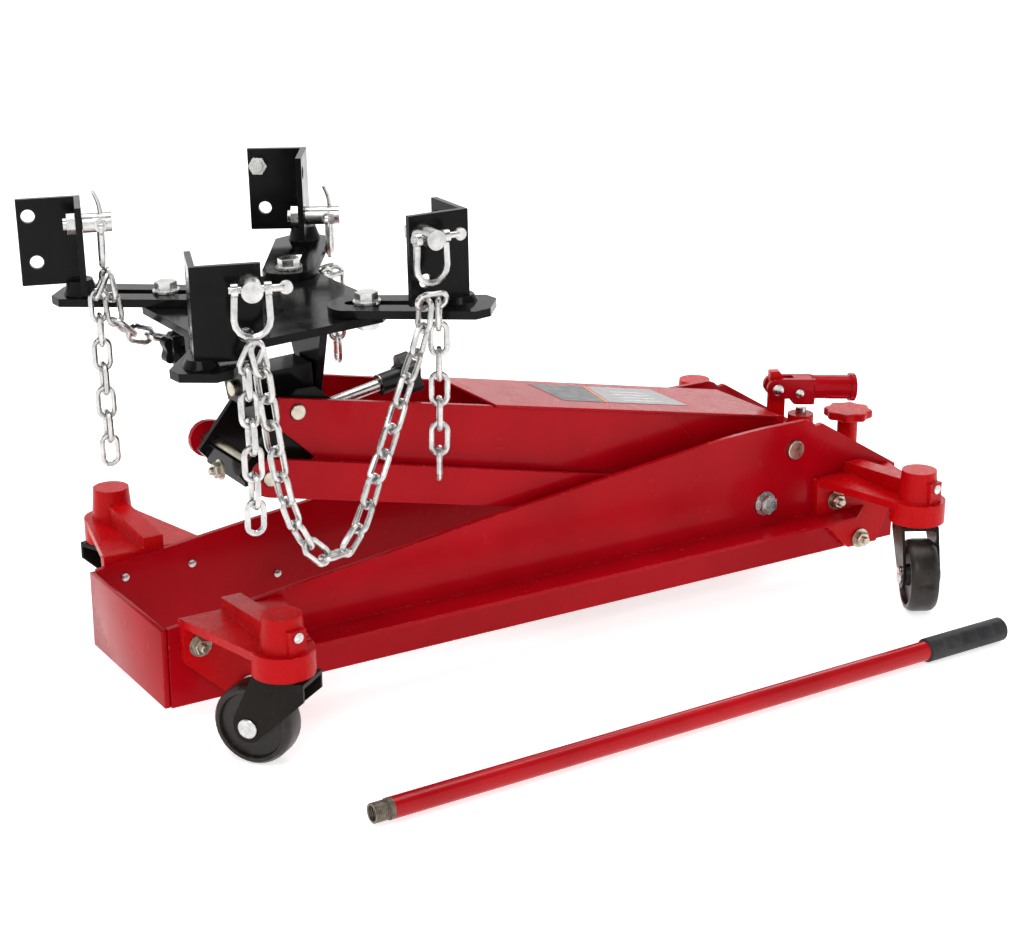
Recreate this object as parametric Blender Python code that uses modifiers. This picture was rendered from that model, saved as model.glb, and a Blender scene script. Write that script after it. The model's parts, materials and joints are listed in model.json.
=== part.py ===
"""Low-profile hydraulic transmission jack: box frame on four casters, parallelogram lift arm,
tilting saddle with four slotted arms and two safety chains, and a loose pump handle.

Metres, +Z up. X runs from the front (the saddle end) to the rear (the pump end), Y from left to right.
Every piece is one closed body in its own named object.
"""

from math import atan2, cos, pi, radians, sin, tan

import bmesh
import bpy
from mathutils import Matrix, Vector

# ---- driving dimensions ---------------------------------------------------------------------
GAP = 0.0003              # daylight between touching pieces
WHEELBASE = 0.763         # front to rear caster centres
TRACK = 0.408             # left to right caster centres
FRAME_HALF = 0.092        # outer face of a side plate
PLATE = 0.006             # side and front plate thickness
FRAME_LOW = 0.039         # underside of the box frame
FRONT_X = -0.4526         # front face of the front plate
FRAME_REAR = 0.4476       # rear end of the side plates
RAIL_Z = 0.0875           # top of the outward rail
RAIL_OUT = 0.128          # outer edge of the rail
RAIL_T = 0.004

FLOOR = 0.0120            # floor below the frame's own zero height
WHEEL_R = 0.0395
WHEEL_W = 0.030
TRAIL = 0.0285            # caster axle behind its swivel
FORK_TOP = 0.1035
COLLAR_LOW = 0.105
COLLAR_TOP = 0.129
COLLAR_R = 0.030
BOSS_TOP = 0.162
BRACKET_TOP = 0.1295
# Swivel of each caster at rest: the way its wheel trails, in degrees from +X.
CASTERS = {
    "front_left": (-1, -1, 127.0),
    "front_right": (-1, 1, 20.0),
    "rear_left": (1, -1, 239.5),
    "rear_right": (1, 1, 200.0),
}

LIFT_PIVOT = Vector((0.2990, 0.0, 0.1678))
LINK_PIVOT = Vector((0.2598, 0.0, 0.1125))
LINK_RUN = Vector((-0.5867, 0.0, 0.1305))   # rear pivot to front pin, the same on both bars
ARM_PIN = LIFT_PIVOT + LINK_RUN
LINK_PIN = LINK_PIVOT + LINK_RUN
ARM_Y = (0.0515, 0.0575)                    # inner and outer face of an arm plate
LINK_Y = (0.0690, 0.0755)                   # inner and outer face of a link bar
HEAD_Y = (0.0430, 0.0490)                   # inner and outer face of a head side plate
COVER_FRONT = (-0.0660, 0.2700)             # top front edge of the arm's lid
COVER_SLOPE = radians(-11.1)
COVER_T = 0.0030
COVER_HALF = 0.0600
PIN_R = 0.0078
SHAFT_R = 0.0108
CRANK_R = 0.055                             # lift pivot to crank roller
ROLLER_R = 0.010
RAM_Z = 0.1160
RAM_R = 0.0105
RAM_SHELL = 0.0190                          # outside radius of the ram cylinder

PITCH_PIN = Vector((-0.2665, 0.0, 0.2891))
PITCH_PIN_R = 0.0070
SADDLE_ORIGIN = Vector((-0.290, 0.0, 0.391))
SADDLE_PITCH = radians(3.0)                 # the saddle stands nose-down by this at rest
SADDLE_T = 0.008
ROLL_Z = -0.0753                            # roll pin below the saddle's top face
ROLL_R = 0.0080
BOLT_X = 0.067
BOLT_Y = 0.083
ARM_LEN = 0.155
ARM_HALF = 0.029
ARM_T = 0.008
SLOT_HALF = 0.0072
SLOT = (0.011, 0.102)                       # ends of the slot, from the arm's inner end
ANGLE_LEG = 0.062
ANGLE_T = 0.006
ANGLE_TALL = 0.086
ANGLE_LEAN = radians(1.2)                   # the angle brackets stand this far from upright
HOLE_R = 0.0068
HOLES = {"upper": (0.0110, 0.0170), "lower": (0.0158, 0.0630)}   # in from the free edge, down from the top
# Each arm: bolt side signs, its heading, the slot position of its bolt, then its angle bracket: corner,
# top above the saddle, headings of the two legs, and the leg, hole row, heading and length of its stud.
ARMS = {
    "front": (-1, -1, -130.5, 0.022, (-0.1475, -0.1650), 0.0975, (-20.0, 70.0), 0, "upper", -110.0, 0.034),
    "rear": (1, 1, 57.0, 0.0185, (0.1436, 0.1861), 0.1045, (148.0, 238.0), 1, "lower", -32.0, 0.036),
    "left": (1, -1, -40.8, 0.033, (0.1467, -0.1401), 0.0967, (178.0, 88.0), 0, "upper", -92.0, 0.034),
    "right": (-1, 1, 137.5, 0.042, (-0.1260, 0.1424), 0.1040, (160.0, 250.0), 1, "upper", -20.0, 0.028),
}
STUD_R = 0.0095
SHACKLE_DROP = 0.042
SHACKLE_HALF = 0.0145
SHACKLE_WIRE = 0.0033
CHAIN_R = 0.0045                            # about the mass of 5.5 mm link chain

SHIFT = Vector((0.0069, 0.0582, -FLOOR))     # takes the middle of the footprint to the origin
HANDLE_END = Vector((-0.3730, -0.3535, 0.0248))
HANDLE_LEN = 0.757
HANDLE_YAW = radians(1.05)
HANDLE_R = 0.0102
GRIP_R = 0.0125
GRIP_LEN = 0.110

SOCKET_PIVOT = Vector((0.3429, 0.0, 0.2101))
SOCKET_SLOPE = radians(-2.6)
SOCKET_YAW = radians(-24.3)                  # the handle socket is turned toward the left side
PISTON_OUT = 0.0315                          # socket pivot to pump piston, level along the socket
PUMP_X = SOCKET_PIVOT.x + PISTON_OUT * cos(SOCKET_YAW)
PUMP_Y = PISTON_OUT * sin(SOCKET_YAW)
PUMP_LOW = 0.1358                           # underside of the pump block, just over the ram cylinder
PUMP_TOP = 0.150
KNOB_AT = Vector((0.4366, -0.020, 0.1645))

RED = (0.42, 0.004, 0.010)
BLACK = (0.012, 0.012, 0.013)
ZINC = (0.62, 0.62, 0.60)
STEEL = (0.45, 0.43, 0.38)
WHEEL_COLOR = (0.030, 0.022, 0.018)
GRIP_COLOR = (0.030, 0.032, 0.035)

for old in list(bpy.data.objects):
    bpy.data.objects.remove(old)
scene_root = bpy.context.scene.collection
jack = bpy.data.collections.new("transmission_jack")
cutters = bpy.data.collections.new("cutters")
scene_root.children.link(jack)
scene_root.children.link(cutters)
cutters.hide_render = True

materials = {}


def material(name, color, roughness, metallic):
    if name not in materials:
        made = bpy.data.materials.new(name)
        made.use_nodes = True
        shader = made.node_tree.nodes["Principled BSDF"]
        shader.inputs["Base Color"].default_value = (*color, 1.0)
        shader.inputs["Roughness"].default_value = roughness
        shader.inputs["Metallic"].default_value = metallic
        materials[name] = made
    return materials[name]


def red_paint():
    return material("red_paint", RED, 0.25, 0.0)


def black_paint():
    return material("black_paint", BLACK, 0.22, 0.0)


def zinc():
    return material("zinc_plate", ZINC, 0.28, 1.0)


def steel():
    return material("pin_steel", STEEL, 0.35, 1.0)


# ---- shape helpers: each returns a mesh object that still needs its final name ------------------
def from_bmesh(bm, name="piece"):
    bmesh.ops.recalc_face_normals(bm, faces=bm.faces)
    mesh = bpy.data.meshes.new(name)
    bm.to_mesh(mesh)
    bm.free()
    made = bpy.data.objects.new(name, mesh)
    cutters.objects.link(made)
    return made


def box(low, high):
    bm = bmesh.new()
    bmesh.ops.create_cube(bm, size=1.0)
    low, high = Vector(low), Vector(high)
    size = high - low
    bmesh.ops.scale(bm, vec=size, verts=bm.verts)
    bmesh.ops.translate(bm, vec=(low + high) / 2, verts=bm.verts)
    return from_bmesh(bm)


def rod(start, end, radius, end_radius=None, sides=24):
    start, end = Vector(start), Vector(end)
    along = end - start
    bm = bmesh.new()
    bmesh.ops.create_cone(
        bm,
        cap_ends=True,
        segments=sides,
        radius1=radius,
        radius2=radius if end_radius is None else end_radius,
        depth=along.length,
    )
    turn = Vector((0, 0, 1)).rotation_difference(along).to_matrix().to_4x4()
    bmesh.ops.transform(bm, matrix=Matrix.Translation((start + end) / 2) @ turn, verts=bm.verts)
    return from_bmesh(bm)


def baked(source):
    """A plain mesh object holding what source looks like after its modifiers or its bevel."""
    bpy.context.view_layer.update()
    graph = bpy.context.evaluated_depsgraph_get()
    mesh = bpy.data.meshes.new_from_object(source.evaluated_get(graph))
    mesh.transform(source.matrix_world)
    bm = bmesh.new()
    bm.from_mesh(mesh)
    bmesh.ops.remove_doubles(bm, verts=bm.verts, dist=1e-6)
    bpy.data.meshes.remove(mesh)
    bpy.data.objects.remove(source)
    return from_bmesh(bm)


def flat(outline, low, high, plane="xz", holes=()):
    """A flat outline with round or polygonal holes, thick from low to high across its plane."""
    curve = bpy.data.curves.new("outline", "CURVE")
    curve.dimensions = "2D"
    curve.fill_mode = "BOTH"
    curve.extrude = (high - low) / 2
    for ring in (outline, *holes):
        spline = curve.splines.new("POLY")
        spline.points.add(len(ring) - 1)
        for point, (a, b) in zip(spline.points, ring):
            point.co = (a, b, 0.0, 1.0)
        spline.use_cyclic_u = True
    source = bpy.data.objects.new("outline", curve)
    cutters.objects.link(source)
    middle = (low + high) / 2
    if plane == "xy":
        source.matrix_world = Matrix.Translation((0, 0, middle))
    if plane == "xz":
        source.matrix_world = Matrix.Translation((0, middle, 0)) @ Matrix.Rotation(pi / 2, 4, "X")
    if plane == "yz":
        cycle = Matrix(((0, 0, 1, 0), (1, 0, 0, 0), (0, 1, 0, 0), (0, 0, 0, 1)))
        source.matrix_world = Matrix.Translation((middle, 0, 0)) @ cycle
    return baked(source)


def ring(centre, radius, sides=24):
    a, b = centre
    return [(a + radius * cos(2 * pi * i / sides), b + radius * sin(2 * pi * i / sides)) for i in range(sides)]


def star(lobes, radius, wave, centre=(0.0, 0.0), fineness=8):
    """A lobed knob's outline."""
    a, b = centre
    turns = [2 * pi * i / (lobes * fineness) for i in range(lobes * fineness)]
    reach = [radius + wave * cos(lobes * t) for t in turns]
    return [(a + r * cos(t), b + r * sin(t)) for r, t in zip(reach, turns)]


def arc(centre, radius, first, last, steps=8):
    """Points of an arc, angles in degrees."""
    a, b = centre
    angles = [radians(first + (last - first) * i / steps) for i in range(steps + 1)]
    return [(a + radius * cos(t), b + radius * sin(t)) for t in angles]


def turned(profile, steps=40):
    """A closed turned body about Z from (radius, height) points, top to bottom, both ends on the axis."""
    mesh = bpy.data.meshes.new("profile")
    edges = [(i, i + 1) for i in range(len(profile) - 1)]
    mesh.from_pydata([(r, 0.0, z) for r, z in profile], edges, [])
    source = bpy.data.objects.new("profile", mesh)
    cutters.objects.link(source)
    spin = source.modifiers.new("spin", "SCREW")
    spin.steps = steps
    spin.render_steps = steps
    spin.use_merge_vertices = True
    spin.merge_threshold = 0.0001
    return baked(source)


def tube(points, radius, resolution=2, closed=False):
    curve = bpy.data.curves.new("wire", "CURVE")
    curve.dimensions = "3D"
    curve.bevel_depth = radius
    curve.bevel_resolution = resolution
    curve.use_fill_caps = not closed
    spline = curve.splines.new("POLY")
    spline.points.add(len(points) - 1)
    for point, place in zip(spline.points, points):
        point.co = (*place, 1.0)
    spline.use_cyclic_u = closed
    source = bpy.data.objects.new("wire", curve)
    cutters.objects.link(source)
    return baked(source)


def moved(piece, matrix):
    piece.data.transform(matrix)
    return piece


def combined(base, add=(), cut=()):
    """One body: base joined with every piece in add, less every piece in cut."""
    for kind, others in (("UNION", add), ("DIFFERENCE", cut)):
        for other in others:
            step = base.modifiers.new(kind.lower(), "BOOLEAN")
            step.operation = kind
            step.solver = "EXACT"
            step.object = other
    made = baked(base)
    for other in (*add, *cut):
        bpy.data.objects.remove(other)
    return made


def bevelled(piece, width, segments=2, angle=35):
    edge = piece.modifiers.new("bevel", "BEVEL")
    edge.width = width
    edge.segments = segments
    edge.limit_method = "ANGLE"
    edge.angle_limit = radians(angle)
    return baked(piece)


def finish(piece, name, finish_of, axis_at=(0, 0, 0), smooth=True):
    """Names the piece, gives it its material and puts its origin on its joint's axis."""
    piece.name = name
    piece.data.name = name
    cutters.objects.unlink(piece)
    jack.objects.link(piece)
    piece.data.materials.clear()
    piece.data.materials.append(finish_of)
    axis_at = Vector(axis_at)
    piece.data.transform(Matrix.Translation(-axis_at))
    piece.location = axis_at
    if smooth:
        piece.data.shade_smooth()
        piece.data.set_sharp_from_angle(angle=radians(35))
    return piece


def toward(degrees):
    return Vector((cos(radians(degrees)), sin(radians(degrees)), 0.0))


# ---- frame ----------------------------------------------------------------------------------
def make_frame():
    front = box((FRONT_X, -0.0903, FRAME_LOW), (FRONT_X + PLATE, 0.0903, 0.1185))
    finish(bevelled(front, 0.001), "front_plate", red_paint())
    start = FRONT_X + PLATE + GAP
    outline = [
        (start, FRAME_LOW),
        (FRAME_REAR, FRAME_LOW - 0.001),
        (FRAME_REAR, 0.126),
        (0.338, 0.1915),
        *arc((0.312, 0.180), 0.019, 30, 88, 4),
        (0.255, 0.1988),
        (0.205, 0.1965),
        (-0.105, 0.1620),
        (start, 0.1195),
    ]
    holes = [
        ring((LIFT_PIVOT.x, LIFT_PIVOT.z), SHAFT_R + 0.0004),
        ring((LINK_PIVOT.x, LINK_PIVOT.z), PIN_R + 0.0004),
    ]
    inner = FRAME_HALF - PLATE
    for side, name in ((-1, "left"), (1, "right")):
        low, high = sorted((side * inner, side * FRAME_HALF))
        plate = flat(outline, low, high, "xz", holes)
        rail_outline = [
            (-0.322, side * (FRAME_HALF - 0.001)),
            (0.326, side * (FRAME_HALF - 0.001)),
            (0.326, side * 0.1015),
            (0.396, side * 0.1015),
            (0.364, side * RAIL_OUT),
            (-0.322, side * RAIL_OUT),
        ]
        rail = flat(rail_outline, RAIL_Z - RAIL_T, RAIL_Z, "xy")
        finish(combined(plate, add=[rail]), f"side_plate_{name}", red_paint(), smooth=False)


def make_caster_bracket(name, end, side):
    """Casting bolted on the side plate: back plate, top web, wedge rib, collar and swivel boss."""
    cx, cy = end * WHEELBASE / 2, side * TRACK / 2
    wall = side * (FRAME_HALF + GAP)
    web_outline = [
        (cx - 0.0540, wall + side * 0.001),
        (cx - 0.0295, cy),
        (cx + 0.0295, cy),
        (cx + 0.0540, wall + side * 0.001),
    ]
    web = flat(web_outline, BRACKET_TOP - 0.0085, BRACKET_TOP, "xy")
    back_outline = [
        (cx - 0.0545, BRACKET_TOP - 0.0008),
        (cx - 0.0530, 0.086),
        (cx - 0.0050, 0.040),
        (cx + 0.0360, 0.040),
        (cx + 0.0545, 0.080),
        (cx + 0.0545, BRACKET_TOP - 0.0008),
    ]
    low, high = sorted((wall, wall + side * 0.0085))
    back = flat(back_outline, low, high, "xz")
    collar = rod((cx, cy, COLLAR_LOW), (cx, cy, COLLAR_TOP), COLLAR_R, sides=36)
    boss = rod((cx, cy, COLLAR_TOP - 0.001), (cx, cy, BOSS_TOP), 0.0215, 0.0188, sides=28)
    rib_outline = [
        (wall + side * 0.0005, BRACKET_TOP - 0.002),
        (wall + side * 0.0005, BRACKET_TOP + 0.012),
        (cy, BRACKET_TOP + 0.020),
        (cy, BRACKET_TOP - 0.002),
    ]
    rib = flat(rib_outline, cx - 0.0105, cx + 0.0105, "yz")
    pad = box((0.0, -0.0092, COLLAR_TOP - 0.001), (0.0238, 0.0092, BOSS_TOP - 0.0100))
    pad = moved(pad, Matrix.Translation((cx, cy, 0)) @ Matrix.Rotation(side * radians(80.0), 4, "Z"))
    made = combined(web, add=[back, collar, boss, rib, pad])
    finish(made, f"caster_bracket_{name}", red_paint())


def make_caster(name, end, side, heading):
    """Swivel fork and wheel; the wheel trails its swivel along heading."""
    cx, cy = end * WHEELBASE / 2, side * TRACK / 2
    place = Matrix.Translation((cx, cy, 0)) @ Matrix.Rotation(radians(heading), 4, "Z")
    cheek_outline = [
        (-0.029, FORK_TOP),
        (0.023, FORK_TOP),
        (0.043, 0.060),
        *arc((TRAIL, FLOOR + WHEEL_R), 0.0150, 5, -150, 6),
        (-0.029, 0.086),
    ]
    inner, outer = 0.0170, 0.0200
    cheeks = [flat(cheek_outline, s * outer if s < 0 else inner, -inner if s < 0 else outer) for s in (-1, 1)]
    top = box((-0.029, -outer, FORK_TOP - 0.0042), (0.023, outer, FORK_TOP))
    swivel = rod((0, 0, FORK_TOP - 0.001), (0, 0, COLLAR_LOW - GAP), 0.014)
    fork = combined(top, add=[*cheeks, swivel])
    finish(moved(fork, place), f"caster_fork_{name}", black_paint(), (cx, cy, FORK_TOP))
    rim, half = WHEEL_R, WHEEL_W / 2
    profile = [
        (0.0, half + 0.0012),
        (0.0110, half + 0.0012),
        (0.0120, half - 0.0045),
        (0.0310, half - 0.0045),
        (0.0325, half),
        (rim - 0.0035, half),
        (rim - 0.0008, half - 0.0035),
        (rim, half - 0.0075),
    ]
    profile += [(r, -z) for r, z in reversed(profile)]
    wheel = moved(turned(profile, 36), Matrix.Rotation(pi / 2, 4, "X"))
    place_wheel = place @ Matrix.Translation((TRAIL, 0, FLOOR + WHEEL_R))
    color = material("wheel_nylon", WHEEL_COLOR, 0.35, 0.0)
    finish(moved(wheel, place_wheel), f"wheel_{name}", color, place_wheel.translation)


def make_pivots():
    reach = FRAME_HALF + 0.0048
    shaft = rod((LIFT_PIVOT.x, -reach, LIFT_PIVOT.z), (LIFT_PIVOT.x, reach, LIFT_PIVOT.z), SHAFT_R)
    finish(bevelled(shaft, 0.0008, 1), "lift_shaft", steel(), LIFT_PIVOT)
    for side, name in ((-1, "left"), (1, "right")):
        x, z = LINK_PIVOT.x, LINK_PIVOT.z
        face = side * (FRAME_HALF + GAP)
        shank = rod((x, side * 0.0672, z), (x, side * (FRAME_HALF + 0.012), z), PIN_R)
        washer = rod((x, face, z), (x, face + side * 0.0022, z), 0.0135)
        nut = rod((x, face + side * 0.002, z), (x, face + side * 0.0095, z), 0.0112, sides=6)
        bolt = combined(shank, add=[washer, nut])
        finish(bolt, f"link_bolt_{name}", zinc(), LINK_PIVOT)


# ---- hydraulic unit -------------------------------------------------------------------------
def crank_point():
    """Crank roller at rest: hanging 17 degrees behind straight down, so that its sweep is even."""
    swing = radians(17.0)
    return LIFT_PIVOT + CRANK_R * Vector((sin(swing), 0.0, -cos(swing)))


def make_hydraulics():
    front, rear = 0.3470, 0.4205
    cylinder = rod((front, 0, RAM_Z), (rear, 0, RAM_Z), RAM_SHELL, sides=32)
    bore = rod((front - 0.01, 0, RAM_Z), (rear - 0.005, 0, RAM_Z), RAM_R + 0.0004)
    finish(combined(cylinder, cut=[bore]), "ram_cylinder", red_paint())
    tip = crank_point().x + ROLLER_R + 0.0010
    body = rod((tip, 0, RAM_Z), (0.3990, 0, RAM_Z), RAM_R)
    head = rod((tip, 0, RAM_Z), (tip + 0.005, 0, RAM_Z), 0.0125)
    finish(combined(body, add=[head]), "ram_rod", steel(), (tip, 0, RAM_Z))

    inner = FRAME_HALF - PLATE - GAP
    deck = box((0.3600, -inner, PUMP_LOW), (0.4020, inner, PUMP_LOW + 0.008))
    block = box((0.3380, -0.0300, PUMP_LOW), (0.4000, 0.0300, PUMP_TOP))
    valve_at = (KNOB_AT.x, KNOB_AT.y)
    valve = rod((*valve_at, 0.0980), (*valve_at, 0.1240), 0.0150)
    web = box((0.3850, -0.0360, 0.1000), (0.4360, -0.0194, 0.1200))
    riser = box((0.3850, -0.0360, 0.1000), (0.3990, -0.0194, PUMP_LOW + 0.002))
    barrel = rod((PUMP_X, PUMP_Y, PUMP_TOP - 0.001), (PUMP_X, PUMP_Y, 0.1770), 0.0148)
    left, right = -0.0072, 0.0110
    base, top = PUMP_LOW + 0.001 - SOCKET_PIVOT.z, 0.0190
    post_outline = [(left, base), (right, base), (right, top - 0.0110), (left + 0.0110, top), (left, top)]
    post = flat(post_outline, -0.0055, 0.0055, "xz", [ring((0, 0), 0.0058)])
    moved(post, Matrix.Translation(SOCKET_PIVOT) @ Matrix.Rotation(SOCKET_YAW, 4, "Z"))
    well = rod((PUMP_X, PUMP_Y, PUMP_LOW + 0.0035), (PUMP_X, PUMP_Y, 0.1900), 0.0063)
    stem_hole = rod((*valve_at, 0.1120), (*valve_at, 0.1300), 0.0058)
    made = combined(deck, add=[block, barrel, post, riser, web, valve], cut=[well, stem_hole])
    finish(made, "pump_body", red_paint())

    piston = rod((PUMP_X, PUMP_Y, PUMP_LOW + 0.0042), (PUMP_X, PUMP_Y, 0.1845), 0.0060)
    finish(piston, "pump_piston", zinc(), (PUMP_X, PUMP_Y, PUMP_TOP))
    make_socket()

    rim = star(8, 0.0262, 0.0018, (KNOB_AT.x, KNOB_AT.y), 6)
    disc = bevelled(flat(rim, KNOB_AT.z, KNOB_AT.z + 0.0092, "xy"), 0.0012, 1, 60)
    stem = rod((*valve_at, 0.1243), (*valve_at, KNOB_AT.z + 0.001), 0.0118)
    needle = rod((*valve_at, 0.1130), (*valve_at, 0.1260), 0.0052)
    finish(combined(disc, add=[stem, needle]), "release_knob", red_paint(), KNOB_AT)


def make_socket():
    """Forked yoke on the socket pin, with the tube that takes the pump handle."""
    cheek_outline = [
        *arc((0, 0), 0.0115, 270, 90, 8),
        (0.0444, 0.0118),
        (0.0444, -0.0178),
        (0.0220, -0.0178),
        (0.0180, -0.0110),
    ]
    cheeks = [flat(cheek_outline, *ends, "xz") for ends in ((-0.0123, -0.0060), (0.0060, 0.0123))]
    bridge = box((0.0205, -0.0121, -0.0176), (0.0442, 0.0121, 0.0116))
    sleeve = rod((0.0430, 0, 0), (0.0920, 0, 0), 0.0138)
    lip = rod((0.0869, 0, 0), (0.0927, 0, 0), 0.0160)
    bore = rod((0.0480, 0, 0), (0.1100, 0, 0), 0.0112)
    pivot = rod((0, -0.0142, 0), (0, 0.0142, 0), 0.0054)
    retainer = rod((0.0257, -0.0136, -0.0042), (0.0257, 0.0136, -0.0042), 0.0042)
    yoke = combined(cheeks[0], add=[cheeks[1], bridge, sleeve, lip, pivot, retainer], cut=[bore])
    turn = Matrix.Rotation(SOCKET_YAW, 4, "Z") @ Matrix.Rotation(-SOCKET_SLOPE, 4, "Y")
    place = Matrix.Translation(SOCKET_PIVOT) @ turn
    finish(moved(yoke, place), "handle_socket", red_paint(), SOCKET_PIVOT)


# ---- lift linkage ---------------------------------------------------------------------------
def cover_top(x):
    """Height of the lid's top face at x."""
    return COVER_FRONT[1] + (x - COVER_FRONT[0]) * tan(COVER_SLOPE)


def make_lift_arm():
    seat = COVER_T / cos(COVER_SLOPE) + GAP
    lid_front = COVER_FRONT[0] - 0.0015
    outline = [
        (-0.3048, 0.3146),
        (-0.3086, 0.2852),
        (-0.2706, 0.2500),
        (-0.0500, 0.1988),
        (0.1750, 0.1540),
        (0.1913, 0.1820),
        (0.1560, cover_top(0.1560) - seat),
        (lid_front, cover_top(lid_front) - seat),
        (lid_front, 0.2684),
    ]
    hub_outline = [
        (0.1450, 0.1620),
        *arc((LIFT_PIVOT.x, LIFT_PIVOT.z), 0.0260, -110, 30, 6),
        (0.2980, cover_top(0.2980) - seat - 0.0006),
        (0.1450, cover_top(0.1450) - seat - 0.0006),
    ]
    for side, name in ((-1, "left"), (1, "right")):
        low, high = sorted((side * ARM_Y[0], side * ARM_Y[1]))
        low_hub, high_hub = sorted((side * (ARM_Y[0] + 0.0005), side * (ARM_Y[1] - 0.0018)))
        plate = flat(outline, low, high, "xz", [ring((ARM_PIN.x, ARM_PIN.z), PIN_R + 0.0004)])
        hub_hole = ring((LIFT_PIVOT.x, LIFT_PIVOT.z), SHAFT_R + 0.0004)
        hub = flat(hub_outline, low_hub, high_hub, "xz", [hub_hole])
        finish(combined(plate, add=[hub]), f"arm_plate_{name}", red_paint(), LIFT_PIVOT, smooth=False)

    inner = ARM_Y[0] - GAP
    hub = rod((LIFT_PIVOT.x, -inner, LIFT_PIVOT.z), (LIFT_PIVOT.x, inner, LIFT_PIVOT.z), 0.0195)
    roller_at = crank_point()
    crank_outline = [
        *arc((roller_at.x, roller_at.z), 0.0090, 195, 375, 8),
        *arc((LIFT_PIVOT.x, LIFT_PIVOT.z), 0.0185, 0, 180, 8),
    ]
    cheeks = [flat(crank_outline, *ends, "xz") for ends in ((-0.0190, -0.0135), (0.0135, 0.0190))]
    roller = rod((roller_at.x, -0.018, roller_at.z), (roller_at.x, 0.018, roller_at.z), ROLLER_R)
    bore = rod((LIFT_PIVOT.x, -0.09, LIFT_PIVOT.z), (LIFT_PIVOT.x, 0.09, LIFT_PIVOT.z), SHAFT_R + 0.0004)
    finish(combined(hub, add=[*cheeks, roller], cut=[bore]), "lift_crank", red_paint(), LIFT_PIVOT)

    make_cover()


def make_cover():
    """Flat sheet lid lying on the arm plates."""
    front = Vector((COVER_FRONT[0], 0, COVER_FRONT[1]))
    rear = Vector((0.3060, 0, cover_top(0.3060)))
    run = (rear - front).normalized()
    down = Vector((run.z, 0, -run.x)) * COVER_T
    section = [front, rear, rear + down, front + down]
    lid = flat([(p.x, p.z) for p in section], -COVER_HALF, COVER_HALF, "xz")
    finish(bevelled(lid, 0.0006, 1), "arm_cover", red_paint(), LIFT_PIVOT, smooth=False)


def make_lower_link():
    tilt = atan2(LINK_RUN.z, LINK_RUN.x)
    half = 0.0190
    square = Vector((-sin(tilt), 0, cos(tilt))) * half
    turn = tilt * 180 / pi
    for side, name in ((-1, "left"), (1, "right")):
        outline = [
            *arc((LINK_PIN.x, LINK_PIN.z), half, turn + 90, turn - 90, 8),
            *arc((LINK_PIVOT.x, LINK_PIVOT.z), half, turn - 90, turn - 270, 8),
        ]
        holes = [
            ring((LINK_PIVOT.x, LINK_PIVOT.z), PIN_R + 0.0004),
            ring((LINK_PIN.x, LINK_PIN.z), PIN_R + 0.0004),
        ]
        low, high = sorted((side * LINK_Y[0], side * LINK_Y[1]))
        bar = flat(outline, low, high, "xz", holes)
        finish(bar, f"link_bar_{name}", red_paint(), LINK_PIVOT, smooth=False)


# ---- head -----------------------------------------------------------------------------------
def make_head():
    outline = [
        (-0.2850, 0.3180),
        (-0.3098, 0.2876),
        (-0.3478, 0.2411),
        (-0.3350, 0.2268),
        (-0.3130, 0.2240),
        (-0.2320, 0.2640),
        (-0.2320, 0.2900),
        (-0.2640, 0.3180),
    ]
    holes = [
        ring((ARM_PIN.x, ARM_PIN.z), PIN_R + 0.0004),
        ring((LINK_PIN.x, LINK_PIN.z), PIN_R + 0.0004),
        ring((PITCH_PIN.x, PITCH_PIN.z), PITCH_PIN_R + 0.0004),
    ]
    sides = [flat(outline, *sorted((s * HEAD_Y[0], s * HEAD_Y[1])), "xz", holes) for s in (-1, 1)]
    nose = box((-0.3396, -HEAD_Y[0] - 0.001, 0.2275), (-0.3354, HEAD_Y[0] + 0.001, 0.2480))
    guide = box((-0.2400, -HEAD_Y[0] - 0.001, 0.2605), (-0.2325, HEAD_Y[0] + 0.001, 0.2910))
    guide_hole = rod((-0.26, 0, screw_height(-0.26)), (-0.21, 0, screw_height(-0.21)), 0.0074)
    head = combined(sides[0], add=[sides[1], nose, guide], cut=[guide_hole])
    finish(head, "head_bracket", black_paint(), ARM_PIN, smooth=False)
    for side, name in ((-1, "left"), (1, "right")):
        start = (ARM_PIN.x, side * (HEAD_Y[0] + 0.0005), ARM_PIN.z)
        end = (ARM_PIN.x, side * (ARM_Y[1] + 0.0030), ARM_PIN.z)
        finish(bevelled(rod(start, end, PIN_R), 0.0008, 1), f"upper_pin_{name}", steel(), ARM_PIN)
    reach = LINK_Y[1] + 0.0022
    pin = rod((LINK_PIN.x, -reach, LINK_PIN.z), (LINK_PIN.x, reach, LINK_PIN.z), PIN_R)
    finish(bevelled(pin, 0.0008, 1), "lower_pin", steel(), LINK_PIN)


def screw_height(x):
    """Height of the fore-and-aft tilt screw's axis at x."""
    return 0.2765 + (x + 0.2485) * tan(radians(10.8))


def screw_point(x):
    return Vector((x, 0.0, screw_height(x)))


def make_tilt_screw():
    rod_piece = rod(screw_point(-0.2460), screw_point(-0.1660), 0.0062)
    sleeve = rod(screw_point(-0.1680), screw_point(-0.1410), 0.0110)
    knob = flat(star(5, 0.0195, 0.0032), 0.0, 0.0140, "yz")
    lean = Matrix.Rotation(-radians(10.8), 4, "Y")
    knob = moved(knob, Matrix.Translation(screw_point(-0.1420)) @ lean)
    made = combined(rod_piece, add=[sleeve, knob])
    finish(made, "tilt_screw", black_paint(), screw_point(-0.2460))


# ---- saddle ---------------------------------------------------------------------------------
def saddle_frame():
    """Saddle's own axes: origin on the top face's centre, nose-down by the rest pitch."""
    return Matrix.Translation(SADDLE_ORIGIN) @ Matrix.Rotation(-SADDLE_PITCH, 4, "Y")


def to_world(point):
    return saddle_frame() @ Vector(point)


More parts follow.
